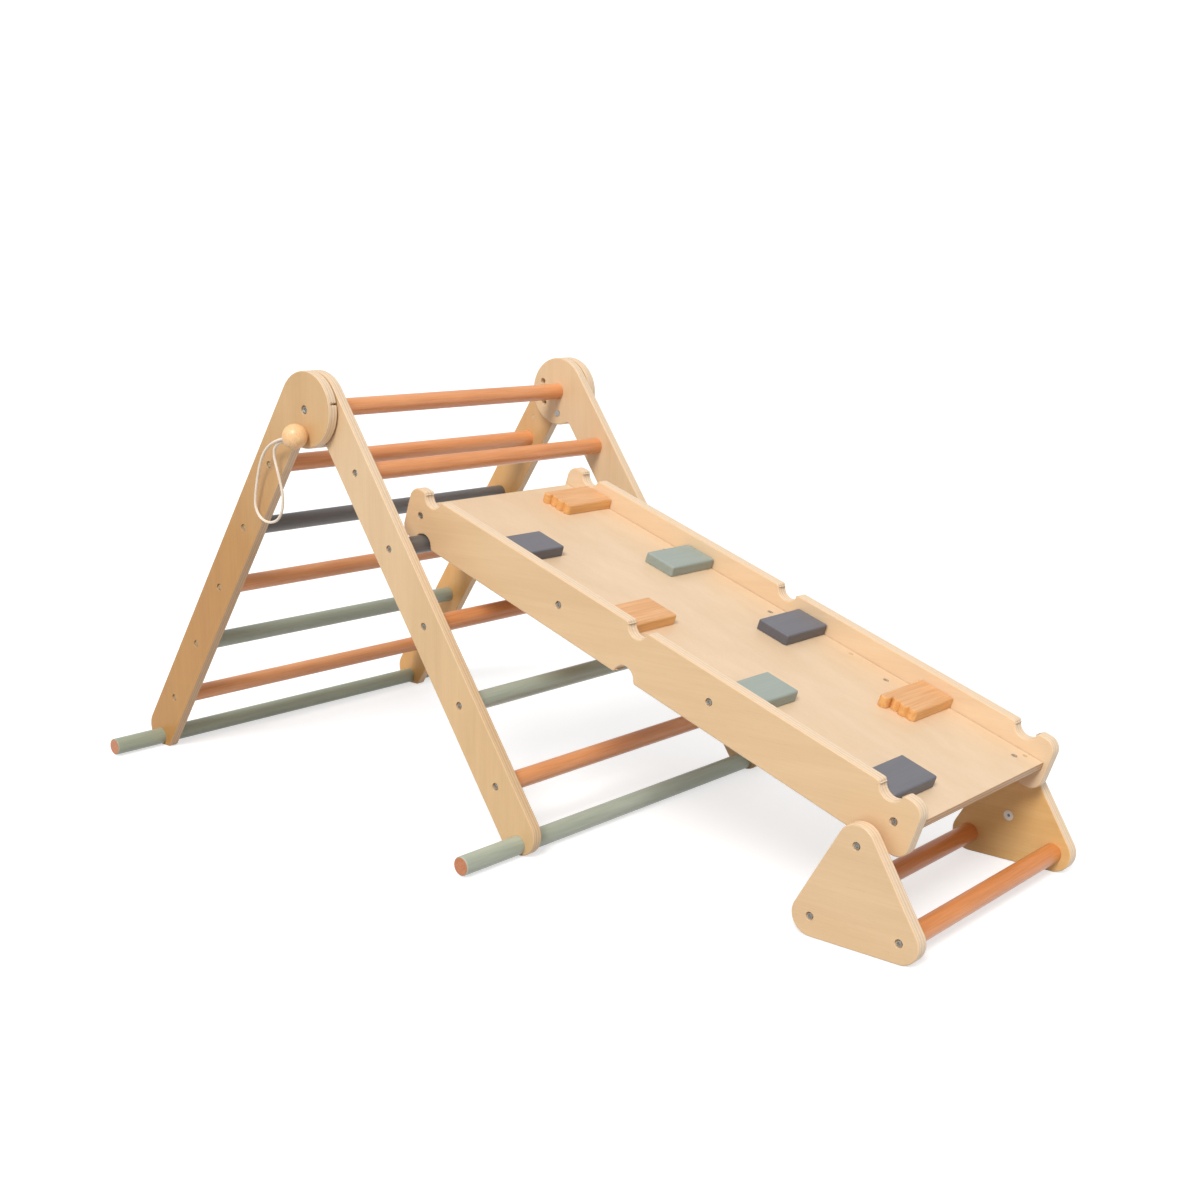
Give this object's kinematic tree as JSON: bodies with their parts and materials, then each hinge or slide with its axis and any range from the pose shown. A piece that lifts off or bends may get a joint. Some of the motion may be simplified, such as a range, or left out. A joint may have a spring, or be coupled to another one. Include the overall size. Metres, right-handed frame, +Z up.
{
  "type": "toddler slide",
  "caption": "Folding wooden climbing frame for toddlers with a notched reversible ramp, staggered stepping blocks and a small triangular base under the low end.",
  "frame": {"origin": "middle of the footprint, on the floor", "axes": "+Z up, +X along the ramp towards its low end, +Y across the frame towards its far rails"},
  "size_m": [1.6371, 0.858, 0.726],
  "materials": {
    "ply": "satin",
    "panel_ply": "satin",
    "terracotta_paint": "satin stain",
    "charcoal_paint": "satin stain",
    "sage_paint": "satin stain",
    "slate_block": "satin stain",
    "sage_block": "satin stain",
    "natural_block": "satin",
    "bolt_steel": "zinc plated, dulled",
    "pin_steel": "brushed",
    "screw_steel": "dull",
    "plug_wood": "raw",
    "knob_wood": "turned, satin",
    "cord_white": "twisted",
    "white_plastic": "matte",
    "grey_plastic": "matte"
  },
  "bodies": {
    "front_ladder": {"front_rail_near": "ply", "front_rail_far": "ply", "front_rung_1": "terracotta_paint", "front_rung_2": "charcoal_paint", "front_rung_3": "terracotta_paint", "front_rung_4": "sage_paint", "front_rung_5": "terracotta_paint", "front_floor_bar": "sage_paint", "front_bolts": "bolt_steel", "top_rung": "terracotta_paint", "pivot_bolts": "bolt_steel", "pivot_washers": "white_plastic", "pin_tips": "pin_steel"},
    "back_ladder": {"back_rail_near": "ply", "back_rail_far": "ply", "back_rung_1": "terracotta_paint", "back_rung_2": "charcoal_paint", "back_rung_3": "terracotta_paint", "back_rung_4": "sage_paint", "back_rung_5": "terracotta_paint", "back_floor_bar": "sage_paint", "back_bolts": "bolt_steel", "rail_plugs": "plug_wood"},
    "lock_pin_near": {"lock_knob_near": "knob_wood", "lock_shank_near": "pin_steel", "lock_cord": "cord_white"},
    "lock_pin_far": {"lock_knob_far": "knob_wood", "lock_shank_far": "pin_steel"},
    "ramp": {"ramp_rail_near": "ply", "ramp_rail_far": "ply", "ramp_panel": "panel_ply", "step_block_1": "natural_block", "step_block_2": "slate_block", "step_block_3": "sage_block", "step_block_4": "natural_block", "step_block_5": "slate_block", "step_block_6": "sage_block", "step_block_7": "natural_block", "step_block_8": "slate_block", "ramp_bolts": "bolt_steel", "panel_screws": "screw_steel", "panel_plugs": "plug_wood"},
    "base": {"stand_board_near": "ply", "stand_board_far": "ply", "stand_dowel_top": "terracotta_paint", "stand_dowel_left": "terracotta_paint", "stand_dowel_right": "terracotta_paint", "stand_bolts": "bolt_steel", "stand_inserts": "white_plastic", "stand_insert_cores": "grey_plastic"}
  },
  "joints": [
    {"name": "fold", "type": "hinge", "parent": "front_ladder", "child": "back_ladder", "pos_m": [-0.32216, 0, 0.662], "axis": [0, -1, 0], "range_deg": [0, 66.3]},
    {"name": "lock_pin_near_pull", "type": "slide", "parent": "back_ladder", "child": "lock_pin_near", "axis": [0, -1, 0], "range_m": [0, 0.045]},
    {"name": "lock_pin_far_pull", "type": "slide", "parent": "back_ladder", "child": "lock_pin_far", "axis": [0, 1, 0], "range_m": [0, 0.045]},
    {"name": "ramp_tilt", "type": "hinge", "parent": "front_ladder", "child": "ramp", "pos_m": [-0.14428, 0, 0.44795], "axis": [0, -1, 0], "range_deg": [0, 20]},
    {"name": "base_shift", "type": "slide", "parent": "front_ladder", "child": "base", "axis": [0, 1, 0], "range_m": [-0.008, 0.008]}
  ]
}
